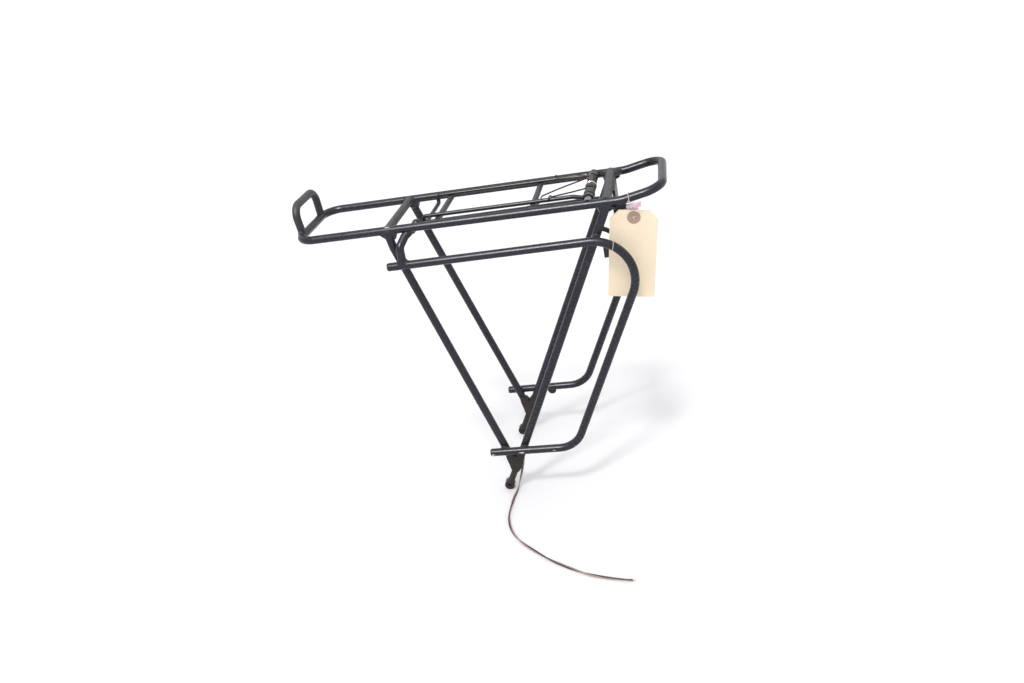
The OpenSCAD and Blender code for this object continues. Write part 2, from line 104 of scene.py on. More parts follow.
def mesh_piece(name, points, faces, materials, body="root", material_index=None):
    """A piece from points and faces. Points are in metres."""
    mesh = bpy.data.meshes.new(name)
    mesh.from_pydata([tuple(p) for p in points], [], faces)
    for material in materials:
        mesh.materials.append(material)
    if material_index is not None:
        mesh.polygons.foreach_set("material_index", material_index)
    mesh.polygons.foreach_set("use_smooth", [True] * len(mesh.polygons))
    mesh.validate()
    mesh.update()
    return add_piece(name, mesh, body)


def joined(parts):
    """One points and faces pair out of several."""
    points, faces = [], []
    for p, f in parts:
        base = len(points)
        points.extend(p)
        faces.extend(tuple(base + i for i in face) for face in f)
    return points, faces


def mm_piece(name, parts, material, body="root"):
    """One piece out of parts whose points are in millimetres."""
    points, faces = joined(parts)
    return mesh_piece(name, [np.array(p) * MM for p in points], faces, [material], body)


def unit(v):
    v = np.array(v, float)
    return v / np.linalg.norm(v)


def smooth_line(points, steps):
    """A Catmull-Rom curve through the points, with that many steps between two of them."""
    p = [np.array(q, float) for q in points]
    line = []
    for i in range(len(p) - 1):
        a, b, c, d = p[max(0, i - 1)], p[i], p[i + 1], p[min(len(p) - 1, i + 2)]
        for k in range(steps):
            t = k / steps
            line.append(
                0.5 * (2 * b + (c - a) * t + (2 * a - 5 * b + 4 * c - d) * t * t
                       + (3 * b - a - 3 * c + d) * t ** 3))
    line.append(p[-1])
    return np.array(line)


def length_along(line):
    """The distance from a line's start to each of its points."""
    return np.concatenate([[0], np.cumsum(np.linalg.norm(np.diff(line, axis=0), axis=1))])


def frames_along(line, closed=False):
    """Two unit vectors square to a line at each of its points, turning as little as they can."""
    if closed:
        tangents = np.roll(line, -1, 0) - np.roll(line, 1, 0)
    else:
        tangents = np.gradient(line, axis=0)
    tangents /= np.linalg.norm(tangents, axis=1)[:, None]
    off_line = np.array([0.31, 0.17, 0.93])
    normal = np.cross(tangents[0], off_line)
    normals = np.zeros_like(line)
    for i, tangent in enumerate(tangents):
        normal = normal - tangent * (normal @ tangent)
        normal /= np.linalg.norm(normal)
        normals[i] = normal
    return normals, np.cross(tangents, normals)


def turned_about(line, angle):
    """Unit vectors square to a line, turned about it by one angle for each point."""
    normals, others = frames_along(line)
    return np.cos(angle)[:, None] * normals + np.sin(angle)[:, None] * others


def tube(line, radii, sides=12, closed=False):
    """Points and faces of a tube along a line. radii is one radius or one for each point."""
    line = np.array(line, float)
    n = len(line)
    radii = np.broadcast_to(np.array(radii, float), (n,))
    normals, others = (way[:, None, :] for way in frames_along(line, closed))
    turn = np.linspace(0, 2 * math.pi, sides, endpoint=False)[None, :, None]
    ring = np.cos(turn) * normals + np.sin(turn) * others
    points = (line[:, None, :] + radii[:, None, None] * ring).reshape(-1, 3)
    faces = []
    for i in range(n if closed else n - 1):
        j = (i + 1) % n
        for k in range(sides):
            m = (k + 1) % sides
            faces.append((i * sides + k, i * sides + m, j * sides + m, j * sides + k))
    if not closed:
        faces.append(tuple(range(sides - 1, -1, -1)))
        faces.append(tuple((n - 1) * sides + k for k in range(sides)))
    return points, faces


# --------------------------------------------------------------------------------------
# Materials
# --------------------------------------------------------------------------------------


class Shader:
    """A short way to write a node material."""

    def __init__(self, name):
        self.material = bpy.data.materials.new(name)
        self.material.use_nodes = True
        self.tree = self.material.node_tree
        self.tree.nodes.clear()
        self.out = self.tree.nodes.new("ShaderNodeOutputMaterial")
        self.bsdf = self.tree.nodes.new("ShaderNodeBsdfPrincipled")
        self.tree.links.new(self.bsdf.outputs[0], self.out.inputs[0])
        self.place = self.tree.nodes.new("ShaderNodeTexCoord").outputs["Object"]

    def node(self, kind, inputs=None, **settings):
        node = self.tree.nodes.new("ShaderNode" + kind)
        for key, value in settings.items():
            setattr(node, key, value)
        for key, value in (inputs or {}).items():
            self.put(node.inputs[key], value)
        return node

    def put(self, socket, value):
        if isinstance(value, bpy.types.NodeSocket):
            self.tree.links.new(value, socket)
        else:
            socket.default_value = value

    def set(self, **values):
        """Principled inputs, with spaces as underscores."""
        for key, value in values.items():
            self.put(self.bsdf.inputs[key.replace("_", " ")], value)

    def noise(self, scale, detail=4.0, roughness=0.55, stretch=None, seed=0.0):
        """Noise with scale features to the metre. A low stretch on an axis draws it out along it."""
        where = self.place
        if stretch is not None:
            where = self.node("Mapping", {"Vector": self.place, "Scale": stretch}).outputs[0]
        inputs = {"Vector": where, "Scale": scale, "Detail": detail, "Roughness": roughness, "W": seed}
        return self.node("TexNoise", inputs, noise_dimensions="4D").outputs["Fac"]

    def range(self, value, low, high, to_low=0.0, to_high=1.0):
        """A value moved from low..high to to_low..to_high, and held inside it."""
        inputs = {"Value": value, "From Min": low, "From Max": high, "To Min": to_low, "To Max": to_high}
        return self.node("MapRange", inputs, clamp=True).outputs[0]

    def math(self, operation, a, b):
        return self.node("Math", {0: a, 1: b}, operation=operation).outputs[0]

    def mix(self, share, a, b):
        return self.node("Mix", {"Factor": share, "A": a, "B": b}, data_type="RGBA").outputs["Result"]

    def bump(self, height, distance, strength, after=None):
        inputs = {"Height": height, "Distance": distance, "Strength": strength}
        if after is not None:
            inputs["Normal"] = after
        return self.node("Bump", inputs).outputs[0]

    def upward(self, low=0.2):
        """1 where the surface faces up, 0 where it doesn't."""
        normal = self.node("TexCoord").outputs["Normal"]
        z = self.node("SeparateXYZ", {0: normal}).outputs[2]
        return self.range(z, low, 0.95)

    def near(self, place, reach):
        """1 in a ragged spot round a place, long along X, and 0 outside it."""
        away = self.node("VectorMath", {0: self.place, 1: place}, operation="SUBTRACT").outputs["Vector"]
        long = self.node("VectorMath", {0: away, 1: (0.24, 1.0, 1.0)}, operation="MULTIPLY").outputs["Vector"]
        far = self.node("VectorMath", {0: long}, operation="LENGTH").outputs["Value"]
        ragged = 0.5 * reach
        grain = self.range(self.noise(900, 3.0), 0.3, 0.7, -ragged, ragged)
        return self.range(self.math("ADD", far, grain), reach, reach * 0.8)


def rgb(r, g, b):
    return (r, g, b, 1.0)


def painted(name, colour, dust_and_top_light_colour, roughness=0.24, chips=(), dust=0.30):
    """Powder coat: orange peel, a pale film on upward faces that is partly dust and partly painted top light,
    fine scuffs and bare chips at the given spots.
    """
    s = Shader(name)
    tone = s.range(s.noise(22, 3.0), 0.3, 0.75)
    base = s.mix(tone, rgb(*colour), rgb(*[c * 1.4 for c in colour]))
    # the pale film on upward faces is partly dust and partly painted top light, lightening the tube tops
    # where the light falls; dust sets how strong it is
    lying_dust_and_top_light = s.math("MULTIPLY", s.upward(), s.range(s.noise(140, 3.0, 0.5), 0.25, 0.85))
    specks = s.range(s.noise(1500, 2.0), 0.68, 0.75)
    film = s.math("MULTIPLY", s.math("MAXIMUM", lying_dust_and_top_light, s.math("MULTIPLY", specks, 0.6)), dust)
    base = s.mix(film, base, rgb(*dust_and_top_light_colour))
    scuffs = s.noise(420, 2.0, stretch=(0.12, 1.0, 1.0), seed=3.0)
    scuffed = s.math("MULTIPLY", s.range(scuffs, 0.70, 0.76), 0.28)
    base = s.mix(scuffed, base, rgb(0.22, 0.22, 0.23))
    bare = None
    for place, reach in chips:
        spot = s.near(place, reach)
        bare = spot if bare is None else s.math("MAXIMUM", bare, spot)
    rough = s.range(s.noise(260, 4.0), 0.3, 0.7, roughness - 0.04, roughness + 0.10)
    rough = s.math("ADD", rough, s.math("MULTIPLY", film, 0.6))
    if bare is not None:
        base = s.mix(bare, base, rgb(0.78, 0.77, 0.75))
        s.set(Metallic=s.math("MULTIPLY", bare, 0.6))
    peel = s.bump(s.noise(520, 2.0), 0.00004, 0.25)
    nicks = s.bump(s.math("SUBTRACT", 1.0, scuffed), 0.00004, 0.25, peel)
    s.set(Base_Color=base, Roughness=rough, Normal=nicks, Specular_IOR_Level=0.32)
    return s.material


def plastic(name, colour, roughness, dust):
    """Moulded plastic with a fine grain and dust in patches on its upper faces."""
    s = Shader(name)
    grain = s.noise(1400, 2.0)
    patch = s.range(s.noise(35, 4.0), 0.35, 0.7)
    film = s.math("MULTIPLY", s.math("MULTIPLY", s.upward(0.0), patch), dust)
    base = s.mix(film, rgb(*colour), rgb(0.20, 0.185, 0.165))
    rough = s.math("ADD", s.range(s.noise(300), 0.3, 0.7, roughness - 0.06, roughness + 0.08), film)
    s.set(Base_Color=base, Roughness=rough, Normal=s.bump(grain, 0.00004, 0.6), IOR=1.47)
    return s.material


def steel(name, colour, rust, roughness=0.38):
    """Plain wire or turned metal, with rust in patches. rust is 0 for none."""
    s = Shader(name)
    patch = s.math("ADD", s.noise(70, 6.0, 0.7), s.math("MULTIPLY", s.noise(600, 4.0), 0.35))
    rusty = s.range(patch, 0.86 - 0.4 * rust, 0.98 - 0.4 * rust)
    brown = s.mix(s.range(s.noise(900, 3.0), 0.35, 0.65), rgb(0.10, 0.035, 0.012), rgb(0.27, 0.10, 0.035))
    drawn = s.noise(300, 3.0, stretch=(0.2, 1.0, 1.0))
    bright = s.mix(s.range(drawn, 0.3, 0.7), rgb(*colour), rgb(*[c * 0.7 for c in colour]))
    crust = s.math("ADD", s.math("MULTIPLY", rusty, 0.6), s.math("MULTIPLY", s.noise(1300), rusty))
    s.set(Base_Color=s.mix(rusty, bright, brown), Metallic=s.range(rusty, 0.0, 1.0, 1.0, 0.05),
          Roughness=s.range(rusty, 0.0, 1.0, roughness, 0.85), Normal=s.bump(crust, 0.0001, 0.6))
    return s.material


def rubber(name):
    """Rubber with a grey bloom in patches."""
    s = Shader(name)
    bloom = s.range(s.noise(90, 5.0), 0.4, 0.75, 0.0, 0.4)
    s.set(Base_Color=s.mix(bloom, rgb(0.014, 0.014, 0.014), rgb(0.07, 0.065, 0.06)),
          Roughness=0.72, Normal=s.bump(s.noise(1500), 0.00005, 0.5))
    return s.material


def red_lens(name):
    """Clear-coated red plastic."""
    s = Shader(name)
    cloud = s.range(s.noise(60, 4.0), 0.35, 0.7)
    s.set(Base_Color=s.mix(cloud, rgb(0.33, 0.006, 0.010), rgb(0.42, 0.012, 0.016)),
          Roughness=s.range(s.noise(500), 0.3, 0.7, 0.10, 0.2), IOR=1.49,
          Coat_Weight=0.5, Coat_Roughness=0.08, Normal=s.bump(s.noise(700), 0.00002, 0.4))
    return s.material


def card(name):
    """Manila card: fibres, mottling and flecks."""
    s = Shader(name)
    fibre = s.noise(900, 4.0, 0.7, stretch=(1.0, 1.0, 0.25))
    mottle = s.range(s.noise(55, 5.0), 0.3, 0.75)
    base = s.mix(mottle, rgb(0.95, 0.82, 0.62), rgb(0.92, 0.77, 0.55))
    base = s.mix(s.range(fibre, 0.60, 0.78, 0.0, 0.35), base, rgb(0.72, 0.55, 0.33))
    flecks = s.range(s.noise(420, 2.0, seed=5.0), 0.71, 0.76, 0.0, 0.5)
    base = s.mix(flecks, base, rgb(0.50, 0.36, 0.22))
    s.set(Base_Color=base, Roughness=0.78, Normal=s.bump(fibre, 0.00006, 0.5), Specular_IOR_Level=0.3)
    return s.material


def kraft(name):
    """Brown reinforcing paper."""
    s = Shader(name)
    fibre = s.noise(1100, 4.0, 0.7)
    base = s.mix(s.range(fibre, 0.35, 0.7), rgb(0.34, 0.23, 0.17), rgb(0.50, 0.36, 0.27))
    s.set(Base_Color=base, Roughness=0.7, Normal=s.bump(fibre, 0.00006, 0.6))
    return s.material


def thread(name, colour, shade):
    """Fuzzy cotton."""
    s = Shader(name)
    fuzz = s.noise(2600, 4.0, 0.7)
    s.set(Base_Color=s.mix(s.range(fuzz, 0.35, 0.65), rgb(*colour), rgb(*shade)),
          Roughness=0.85, Normal=s.bump(fuzz, 0.0001, 0.8))
    return s.material


def sheath(name, colour, shade):
    """A cable core's plastic sheath, worn in patches."""
    s = Shader(name)
    worn = s.range(s.noise(160, 5.0), 0.4, 0.7)
    s.set(Base_Color=s.mix(worn, rgb(*colour), rgb(*shade)),
          Roughness=s.range(s.noise(500), 0.3, 0.7, 0.38, 0.52), Normal=s.bump(s.noise(900), 0.00004, 0.4))
    return s.material


DARK = (0.015, 0.016, 0.0225)
# colour of the pale film on upward faces, which stands for dust and also for painted top light
DUST_AND_TOP_LIGHT = (0.135, 0.134, 0.145)
# place and reach of each bare chip: one on the left rail, the others on the hoops' lower rails
CHIPS = (
    ((-0.0795, -0.0575, 0.3742), 0.0009),
    ((0.029, -0.0825, 0.0603), 0.0010),
    ((0.072, -0.0825, 0.0606), 0.0007),
    ((0.102, -0.0822, 0.0648), 0.0008),
    ((-0.0095, -0.0825, 0.0597), 0.0010),
    ((0.062, 0.0815, 0.0630), 0.0008),
)
FRAME_PAINT = painted("frame_paint", DARK, DUST_AND_TOP_LIGHT, chips=CHIPS)
# a heavier pale film on the stop loop, cross tubes and rods: partly dust, partly painted top light
DUST_AND_TOP_LIGHT_PAINT = painted("dust_and_top_light_frame_paint", (0.030, 0.031, 0.035), (0.20, 0.195, 0.195), 0.40, dust=0.6)
WELD_PAINT = painted("weld_paint", (0.016, 0.017, 0.020), (0.16, 0.15, 0.145), 0.36, dust=0.5)
FOOT_PAINT = painted("foot_paint", (0.020, 0.016, 0.013), (0.11, 0.08, 0.058), 0.40, dust=0.8)
BAIL_PAINT = painted("bail_paint", (0.010, 0.011, 0.013), DUST_AND_TOP_LIGHT, 0.25, dust=0.25)
BRACKET_PAINT = painted("bracket_paint", (0.016, 0.016, 0.018), DUST_AND_TOP_LIGHT, 0.36, dust=0.3)
BLACK_PLASTIC = plastic("black_plastic", (0.022, 0.022, 0.022), 0.44, 0.45)
LAMP_BLACK = plastic("lamp_black", (0.008, 0.008, 0.009), 0.30, 0.15)
RUBBER = rubber("black_rubber")
AXLE_STEEL = steel("axle_steel", (0.40, 0.36, 0.31), 0.45)
CLIP_STEEL = steel("clip_steel", (0.86, 0.85, 0.83), 0.0, 0.18)
BOLT_STEEL = steel("bolt_steel", (0.50, 0.49, 0.47), 0.15)
SPRING_STEEL = steel("spring_steel", (0.075, 0.068, 0.062), 0.22)
COPPER = steel("copper", (0.72, 0.34, 0.19), 0.0, 0.3)
LENS_RED = red_lens("lens_red")
MANILA = card("manila_card")
KRAFT = kraft("kraft_ring")
STRING = thread("cotton_string", (0.88, 0.83, 0.83), (0.66, 0.56, 0.58))
PINK_STRING = thread("pink_string", (0.90, 0.70, 0.75), (0.74, 0.46, 0.52))
CORE_DARK = sheath("core_dark", (0.040, 0.028, 0.024), (0.075, 0.050, 0.042))
CORE_PALE = sheath("core_pale", (0.42, 0.31, 0.28), (0.30, 0.20, 0.17))

# the look of each of the CAD's material slots, and the nodes that have another look than their slot's
LOOKS = {
    "frame_paint": FRAME_PAINT, "foot_metal": FOOT_PAINT, "black_rubber": RUBBER,
    "bare_steel": AXLE_STEEL, "black_plastic": BLACK_PLASTIC, "bail_paint": BAIL_PAINT,
    "spring_steel": SPRING_STEEL, "bracket_paint": BRACKET_PAINT, "lamp_black": LAMP_BLACK,
    "lamp_red": LENS_RED, "cable_sheath": CORE_DARK, "manila_card": MANILA,
    "kraft_paper": KRAFT, "cotton_string": STRING,
}
OWN_LOOKS = {
    "front_stop_loop": DUST_AND_TOP_LIGHT_PAINT, "front_cross_tube": DUST_AND_TOP_LIGHT_PAINT, "rear_cross_tube": DUST_AND_TOP_LIGHT_PAINT,
    "cross_rod_front": DUST_AND_TOP_LIGHT_PAINT, "cross_rod_middle": DUST_AND_TOP_LIGHT_PAINT,
    "collar_clip": CLIP_STEEL, "lamp_bolts": BOLT_STEEL, "axle_spacer_right": WELD_PAINT,
    "lower_rail_lug": FOOT_PAINT,
}


def dress_cad_nodes():
    """Gives every CAD node its material and smooth shading."""
    slots = {part["node"]: part["material_slot"] for part in frame["record"]["subparts"]}
    for name, obj in nodes.items():
        material = OWN_LOOKS.get(name, LOOKS[slots[name]])
        obj.data.materials.clear()
        obj.data.materials.append(material)
        obj.data.polygons.foreach_set("use_smooth", [True] * len(obj.data.polygons))


dress_cad_nodes()

# --------------------------------------------------------------------------------------
# Lamp cable
# --------------------------------------------------------------------------------------

CORE_D = 1.6 * MM
CABLE_TURNS = 3.4


def lamp_cable():
    """Two cores laid up together, from the left rear strut down to the floor and along it."""
    # the route is in millimetres, and lay is the cable's height where it lies on the floor
    root = np.array([30, -68.3, 61.5])
    way = unit((-0.2, 0.6, -0.775))
    lay = -4.8
    route = [root + 4 * way, root + 10 * way, (26.5, -59, 46), (24.6, -58, 38), (22.6, -58, 30),
             (20, -58.4, 21), (17.2, -60, 12), (14.4, -63.5, 4), (12, -70, -2), (10, -78, -4.6),
             (8.4, -88, lay), (7.2, -100, lay), (6.6, -113, lay), (7, -126, lay),
             (9.2, -139, lay), (13, -151, lay), (18.6, -162.5, lay), (26, -173, lay),
             (35, -183, lay), (46, -193, lay), (58, -203, lay), (71, -212.5, lay),
             (85, -221.5, lay), (99, -229.5, lay), (113, -236.5, lay), (127, -242, lay),
             (141, -246, lay), (155, -248.5, lay), (168, -250, lay)]
    line = smooth_line([np.array(p) * MM for p in route], 12)
    along = length_along(line)
    first_turn, spread, floor_gap = 0.6, 1.02, 0.05 * MM
    offset = turned_about(line, 2 * math.pi * CABLE_TURNS * along / along[-1] + first_turn)
    parts, index = [], []
    for which, side in enumerate((1, -1)):
        core = line + side * offset * CORE_D / 2 * spread
        core[:, 2] = np.maximum(core[:, 2], FLOOR_Z + CORE_D / 2 + floor_gap)
        points, faces = tube(core, CORE_D / 2)
        parts.append((points, faces))
        index += [which] * len(faces)
    points, faces = joined(parts)
    cable = mesh_piece("cable_cores", points, faces, [CORE_DARK, CORE_PALE],
                       material_index=index)
    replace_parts(cable, "lamp_cable")
    strands = copper_ends(line[-1], unit(line[-1] - line[-3]), offset[-1] * CORE_D / 2)


def copper_ends(tip, way, offset):
    """Short twists of bare copper strands out of both cores' ends."""
    strands, strand_r, bunch_r, splay = 7, 0.13 * MM, 0.28 * MM, 0.1 * MM
    parts = []
    for side in (1, -1):
        for k in range(strands):
            turn = 2 * math.pi * k / strands
            start = tip + side * offset + bunch_r * np.array([0, math.cos(turn), math.sin(turn)])
            line = []
            for t in np.linspace(-0.6, 3.4, 9):
                away = np.array([0, math.cos(turn + t), 0.4 * math.sin(turn + t)])
                line.append(start + way * t * MM + splay * t * away)
            parts.append(tube(line, strand_r, 6))
    points, faces = joined(parts)
    return mesh_piece("copper_strands", points, faces, [COPPER])


lamp_cable()

# --------------------------------------------------------------------------------------
# Welds. All sizes are in millimetres from here to the end of the parcel tag's section
# --------------------------------------------------------------------------------------

RAIL_Y, DECK_Z, TUBE_R = 55.5, 370.0, 5.0
PIVOT_X, PIVOT_Z = 158.0, 372.0
ALONG_X, ALONG_Y = (1, 0, 0), (0, 1, 0)


def square_to(v, along):
    """What is left of v without its share along a unit vector."""
    return v - (v @ along) * along


def meeting(p, way, main, along, radius):
    """Where the line from p along way first meets a round tube, whose axis runs through main."""
    across_p, across_way = square_to(p - main, along), square_to(way, along)
    a, b = across_way @ across_way, 2 * across_p @ across_way
    c = across_p @ across_p - radius ** 2
    return p + way * (-b - math.sqrt(max(0.0, b * b - 4 * a * c))) / (2 * a)


def branch_weld(start, toward, radius, main, along, main_radius, leg):
    """A hollow fillet with weld ripples, where a round branch runs into a round main tube.

    The branch's axis goes from start to toward, and the main tube's runs through main. The fillet
    reaches leg up the branch and out along the main tube.
    """
    start, main = np.array(start, float), np.array(main, float)
    way, along = unit(np.array(toward, float) - start), unit(along)
    u = unit(np.cross(way, along))
    v = np.cross(way, u)
    steps, shares = 120, np.linspace(0, 1, 7)
    ripple_length, ripple_height, sunk, buried = 1.9, 0.14, 0.12, 0.8
    ripples = max(6, round(2 * math.pi * radius / ripple_length))
    points, faces = [], []
    for k in range(steps):
        turn = 2 * math.pi * k / steps
        out = math.cos(turn) * u + math.sin(turn) * v
        hit = meeting(start + radius * out, way, main, along, main_radius)
        wave = math.sin(ripples * turn + 0.8 * math.sin(3 * turn))
        reach = leg * (1 + 0.05 * math.sin(2 * turn + 1) + 0.03 * wave)
        foot = hit + reach * out
        away = square_to(foot - main, along)
        foot = foot - away + unit(away) * (main_radius - sunk)
        back = hit - reach * way - sunk * out
        corner = 0.55 * hit + 0.45 * (foot + back) / 2
        face = unit(out - way)
        for t in shares:
            q = (1 - t) ** 2 * back + 2 * t * (1 - t) * corner + t * t * foot
            points.append(q + face * ripple_height * wave * 4 * t * (1 - t))
        points.append(hit - buried * out + buried * way)
    row = len(shares) + 1
    for k in range(steps):
        m = (k + 1) % steps
        for i in range(row):
            j = (i + 1) % row
            faces.append((k * row + i, k * row + j, m * row + j, m * row + i))
    return points, faces


def touch_weld(centre, long_way, short_way, long_r, short_r, radius):
    """A rippled bead round the spot where two crossing tubes touch."""
    turn = np.linspace(0, 2 * math.pi, 90, endpoint=False)[:, None]
    line = (np.array(centre, float) + long_r * np.cos(turn) * unit(long_way)
            + short_r * np.sin(turn) * unit(short_way))
    radii = radius * (1 + 0.09 * np.sin(15 * turn[:, 0]) + 0.05 * np.sin(4 * turn[:, 0]))
    return tube(line, radii, 10, closed=True)


def deck_welds(side):
    """Where cross tubes, rods and axle spacers meet a rail, and the stop loop the deck's front."""
    rail = (0, side * RAIL_Y, DECK_Z)
    rod_z, rod_r = 369.3, 3.5
    # x, z, radius and leg of the front and rear cross tube, both rods and the axle's spacers
    members = (
        (-81, DECK_Z, TUBE_R, 3.4),
        (178.6, DECK_Z, 5.9, 9.0),
        (-23, rod_z, rod_r, 2.6),
        (92, rod_z, rod_r, 2.6),
        (PIVOT_X, PIVOT_Z, 4.7, 4.2),
    )
    beads = [branch_weld((x, 0, z), (x, side * RAIL_Y, z), radius, rail, ALONG_X, TUBE_R, leg)
             for x, z, radius, leg in members]
    beads.append(branch_weld((-198, side * 34.6, 392), (-197, side * 33.1, DECK_Z), 4.8,
                             (-197, 0, DECK_Z), ALONG_Y, TUBE_R, leg=2.6))
    return beads


def strut_welds(side):
    """Where the struts meet a rail, and the hoop's bridge and lamp's stay meet the rear strut."""
    rail = (0, side * RAIL_Y, DECK_Z)
    rear_strut_way = (-0.436, side * 0.036, -0.9)
    return [
        # front strut and rear strut
        branch_weld((-77.6, side * 59.6, 352), (-80.7, side * 56.6, 368.4), TUBE_R,
                    rail, ALONG_X, TUBE_R, leg=6.0),
        branch_weld((172, side * 56.2, 352.8), (179.6, side * RAIL_Y, 368.6), TUBE_R,
                    rail, ALONG_X, TUBE_R, leg=4.5),
        # bridge, at the hoop and at the rear strut
        branch_weld((161, side * 62, 331), (161.5, side * 70, 331), 4.5,
                    (161.5, side * 70, 331), (1, 0, -0.08), TUBE_R, leg=2.6),
        branch_weld((161.5, side * 66, 331), (161, side * 57, 331), 4.5,
                    (161.4, side * 57.0, 331), rear_strut_way, TUBE_R, leg=2.4),
        # lamp's stay, at the rear strut
        branch_weld((173, side * 50.5, 336.6), (166.3, side * 56.6, 342), 2.75,
                    (166.8, side * 56.6, 342), rear_strut_way, TUBE_R, leg=1.6),
    ]


def hoop_welds(side):
    """Where a hoop's lower rail crosses both struts, and its upper rail the front one."""
    beads = [touch_weld((x, side * 73.2, 60.5), ALONG_X, (-slope, 0, 1), 4.6, 3.9, 1.5)
             for x, slope in ((5.9, 0.286), (30.7, -0.483))]
    beads.append(touch_weld((-71.6, side * 65.3, 329.8), ALONG_X, (-0.286, 0, 1), 4.2, 3.4, 1.3))
    return beads


def stay_welds():
    """The ends of the left hoop's stay, at the hoop and at the rail."""
    return [
        branch_weld((-66.5, -69.5, 348), (-67, -70, 331), TUBE_R,
                    (-67, -70, 329.8), (1, 0, 0.008), TUBE_R, leg=3.0),
        branch_weld((-63.5, -62.5, 356), (-50, -48, 367.5), TUBE_R,
                    (0, -RAIL_Y, DECK_Z), ALONG_X, TUBE_R, leg=2.6),
    ]


def frame_welds():
    beads = []
    for side in (-1, 1):
        beads += deck_welds(side) + strut_welds(side) + hoop_welds(side)
    mm_piece("frame_welds", beads + stay_welds(), WELD_PAINT)


frame_welds()

# --------------------------------------------------------------------------------------
# Torsion springs: their coils and fixed leg stay with the frame, their hooks go with the bail
# --------------------------------------------------------------------------------------

WIRE_R = 0.9
RIGHT_COIL_R, LEFT_COIL_R = 4.9, 4.0


def coil(y0, y1, radius, turns):
    """Wire wound about the pivot from y0 to y1, where it ends at its top."""
    angle = np.linspace(-2 * math.pi * turns, 0, int(turns * 40)) + math.pi / 2
    line = np.stack([PIVOT_X + radius * np.cos(angle), np.linspace(y0, y1, len(angle)),
                     PIVOT_Z + radius * np.sin(angle)], axis=1)
    return tube(line, WIRE_R)


def wire(points):
    return tube(smooth_line(points, 8), WIRE_R)


def hook_points(side):
    """Points round the top of a bail arm, where a spring's leg ends."""
    return [(116, side * 34, 377.8), (115, side * 37, 380.0), (113.4, side * 40.6, 379.6),
            (112.6, side * 42, 377.4), (112, side * 42, 374.6)]


def torsion_springs():
    """The right spring has two coils, and its fixed leg goes under the middle cross rod.

    The left one's coil is in its cover. Its leg is cut at the cover's slot, so that the stub stays
    with the coil and the rest goes with the bail.
    """
    top, under = PIVOT_Z + RIGHT_COIL_R, 364.5
    leg = [(158.4, 20.8, top), (152, 21.3, top - 0.1), (145, 17.6, top - 0.7), (124, 5.6, 374.6),
           (106, -5.2, 372.6), (100, -8.8, 371.4), (98, -10.6, 367.0), (95.4, -12.2, under),
           (89, -16, under), (85.6, -20, under + 0.6), (84, -24, under + 2)]
    coils = [coil(9.4, 20.8, RIGHT_COIL_R, 6.25), coil(22.7, 32.6, RIGHT_COIL_R, 5.5)]
    right = mm_piece("spring_right", coils + [wire(leg)], SPRING_STEEL)
    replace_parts(right, "torsion_spring_right")
    left_top = PIVOT_Z + LEFT_COIL_R
    stub = [(158.4, -12.6, left_top), (155.5, -13.3, left_top), (153, -14.6, left_top),
            (151.3, -15.5, left_top)]
    left = mm_piece("spring_left", [coil(-27.6, -12.6, LEFT_COIL_R, 8.25), wire(stub)],
                    SPRING_STEEL)
    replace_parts(left, "torsion_spring_left")
    right_leg = [(158.4, 32.6, top), (150, 32.4, top), (134, 33, 377.0), (122, 33.4, 377.4)]
    left_leg = [(151.2, -15.6, left_top), (144, -19.5, 376.3), (136, -23.8, 376.6),
                (122, -31, 377.4)]
    for name, points in (("spring_right_hook", right_leg + hook_points(1)),
                         ("spring_left_hook", left_leg + hook_points(-1))):
        mm_piece(name, [wire(points)], SPRING_STEEL, "bail")


torsion_springs()

# --------------------------------------------------------------------------------------
# Rear lamp
# --------------------------------------------------------------------------------------

LAMP_FRONT, LAMP_BACK, LENS_BACK = 187.0, 203.0, 208.0
LAMP_CORNERS = ((-44, 299), (44, 299), (44, 329), (22, 338), (-22, 338), (-44, 329))
LAMP_CORNER_R, LEAST_CORNER_R = 6, 1.5
LENS_MIDDLE_Z = 318
RINGS_R, BORDER_R = 13, 14.5
RING_STEP, RIB_STEP, GROOVE_STEP = 2.2, 3.0, 5.0


def quarter_turn(way):
    return np.array([-way[1], way[0]])


def lamp_outline(inset):
    """The lamp's outline as (y, z), moved inwards and with rounded corners."""
    corners = [np.array(c, float) for c in LAMP_CORNERS]
    n = len(corners)
    ways = [unit(corners[(i + 1) % n] - corners[i]) for i in range(n)]
    radius = max(LEAST_CORNER_R, LAMP_CORNER_R - inset)
    steps = 8
    outline = []
    for i in range(n):
        a, b = ways[i - 1], ways[i]
        normal_a, normal_b = quarter_turn(a), quarter_turn(b)
        corner = corners[i] + inset * (normal_a + normal_b) / (1 + normal_a @ normal_b)
        half = math.acos(max(-1.0, min(1.0, a @ b))) / 2
        centre = (corner - radius * math.tan(half) * a) + radius * normal_a
        first = math.atan2(-a[0], a[1])
        for k in range(steps + 1):
            turn = first + 2 * half * k / steps
            outline.append(centre + radius * np.array([math.cos(turn), math.sin(turn)]))
    return np.array(outline)


def lamp_shell(stations):
    """A closed shell through the outlines at (x, inset) stations."""
    rings = [[(x, y, z) for y, z in lamp_outline(inset)] for x, inset in stations]
    n = len(rings[0])
    faces = [(i * n + k, i * n + (k + 1) % n, (i + 1) * n + (k + 1) % n, (i + 1) * n + k)
             for i in range(len(rings) - 1) for k in range(n)]
    faces += [tuple(range(n - 1, -1, -1)), tuple((len(rings) - 1) * n + k for k in range(n))]
    return [p for ring in rings for p in ring], faces


def prism_depth(y, z):
    """How far the lens stands out: prism rings, a plain border, and grooved upright ribs outside."""
    far = math.hypot(y, z - LENS_MIDDLE_Z)
    if far < RINGS_R:
        return 0.9 * (1 - far / RINGS_R) ** 0.7 - 0.45 * ((far / RING_STEP) % 1.0)
    if far < BORDER_R:
        return 0.35
    groove = abs((z - LENS_MIDDLE_Z) / GROOVE_STEP) % 1.0 < 0.12
    return 0.30 * abs(2 * ((y / RIB_STEP) % 1.0) - 1) - 0.22 * groove


